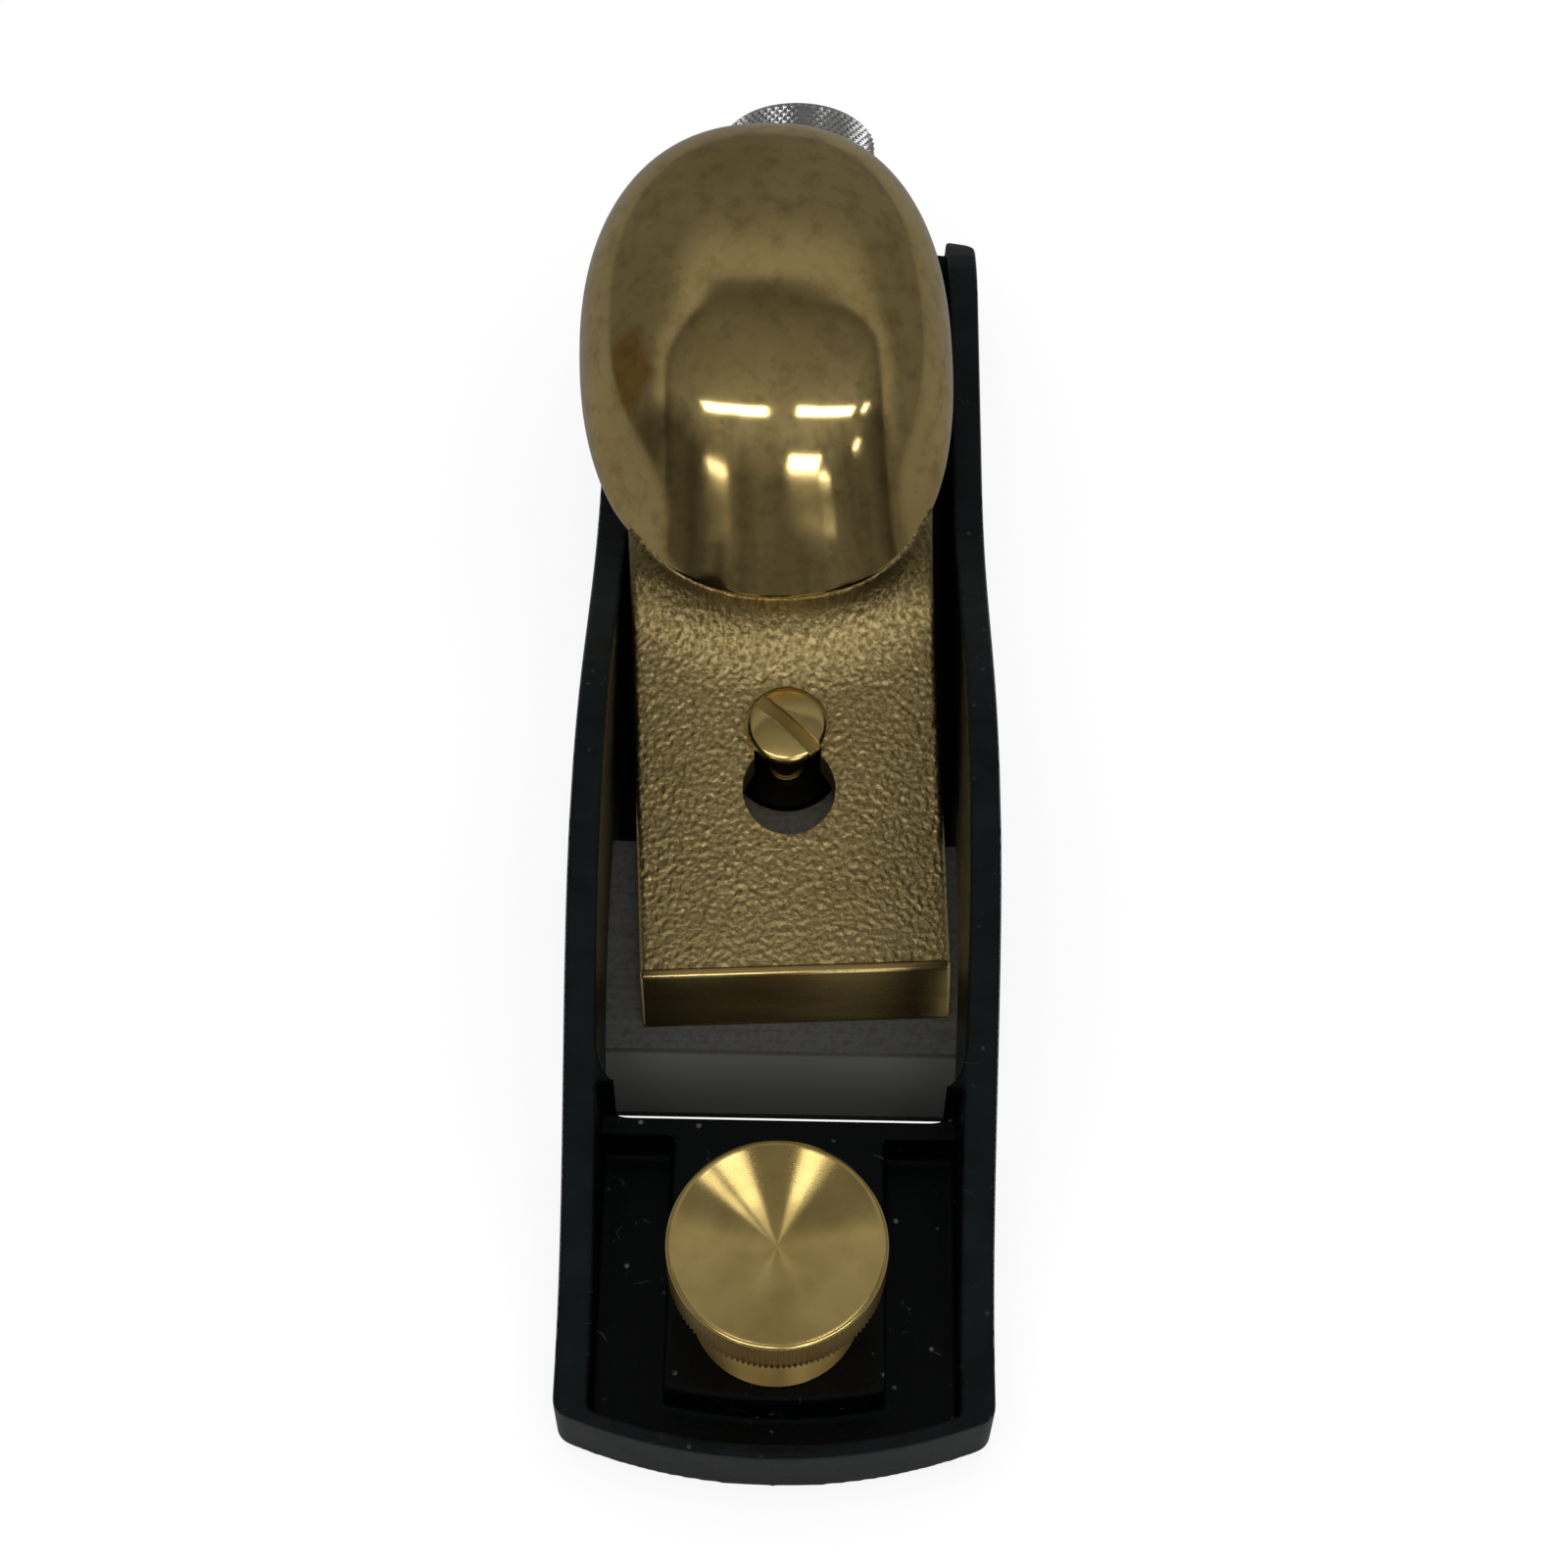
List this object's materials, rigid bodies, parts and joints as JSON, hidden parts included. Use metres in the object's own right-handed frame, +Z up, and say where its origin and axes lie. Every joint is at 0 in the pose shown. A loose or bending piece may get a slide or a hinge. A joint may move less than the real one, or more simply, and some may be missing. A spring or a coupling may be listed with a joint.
{
  "type": "rebate block plane",
  "caption": "Low-angle rebate block plane with open side arches, full-width iron, domed lever cap, adjustable mouth with a knurled knob, and a screw depth adjuster.",
  "frame": {"origin": "on the sole, at the middle of the body's length and width", "axes": "+X to the user's right, +Y from toe to heel along the sole, +Z up from the sole"},
  "size_m": [0.0464, 0.166, 0.0526],
  "materials": {
    "japanned_iron": "black japanned casting, satin on the outside and rough inside",
    "ground_iron": "surface-ground grey iron",
    "turned_brass": "turned and knurled, lightly tarnished",
    "cast_bronze": "rough sand-cast plate with a polished bevel and a polished dome",
    "ground_steel": "ground tool steel, bright at the edge",
    "turned_steel": "turned steel, knurled on the wheel"
  },
  "bodies": {
    "plane": {"body": "japanned_iron"},
    "toe": {"toe_plate": "ground_iron"},
    "stud": {"toe_stud": "turned_brass"},
    "knob": {"toe_knob": "turned_brass"},
    "iron": {"blade": "ground_steel"},
    "adjuster": {"adjuster_wheel": "turned_steel", "adjuster_spindle": "turned_steel"},
    "cap_pivot": {"lever_cap_screw": "turned_brass"},
    "cap": {"lever_cap": "cast_bronze"},
    "clamp_screw": {"spin_screw": "turned_steel"},
    "clamp_wheel": {"spin_wheel": "turned_brass"}
  },
  "joints": [
    {"name": "toe_slide", "type": "slide", "parent": "plane", "child": "toe", "axis": [0, 1, 0], "range_m": [-0.003, 0.0008]},
    {"name": "knob_lift", "type": "slide", "parent": "toe", "child": "stud", "axis": [0, 0, 1], "range_m": [0, 0.00127]},
    {"name": "knob_turn", "type": "hinge", "parent": "stud", "child": "knob", "pos_m": [0, -0.06375, 0.02], "axis": [0, 0, 1], "range_deg": [0, 360]},
    {"name": "blade_feed", "type": "slide", "parent": "plane", "child": "iron", "axis": [0, 0.9781, 0.2079], "range_m": [-0.0008, 0.004]},
    {"name": "adjuster_turn", "type": "hinge", "parent": "iron", "child": "adjuster", "pos_m": [0, 0.07519, 0.01794], "axis": [0, 0.9781, 0.2079], "range_deg": [-360, 1800]},
    {"name": "lever_cap_swivel", "type": "hinge", "parent": "plane", "child": "cap_pivot", "pos_m": [0, 0.00235, 0.00859], "axis": [0, -0.2079, 0.9781], "range_deg": [-6, 0.3]},
    {"name": "lever_cap_slide", "type": "slide", "parent": "cap_pivot", "child": "cap", "axis": [-0.0523, 0.9768, 0.2076], "range_m": [0, 0.0066]},
    {"name": "spin_lift", "type": "slide", "parent": "cap", "child": "clamp_screw", "axis": [0, -0.2079, 0.9781], "range_m": [0, 0.0016]},
    {"name": "spin_turn", "type": "hinge", "parent": "clamp_screw", "child": "clamp_wheel", "pos_m": [-0.00218, 0.04308, 0.01724], "axis": [0, -0.2079, 0.9781], "range_deg": [0, 720]}
  ],
  "couplings": [
    {"joint": "knob_turn", "follows": "knob_lift", "rad_per_m": 4947.4},
    {"joint": "adjuster_turn", "follows": "blade_feed", "rad_per_m": 7854},
    {"joint": "spin_turn", "follows": "spin_lift", "rad_per_m": 7854}
  ]
}
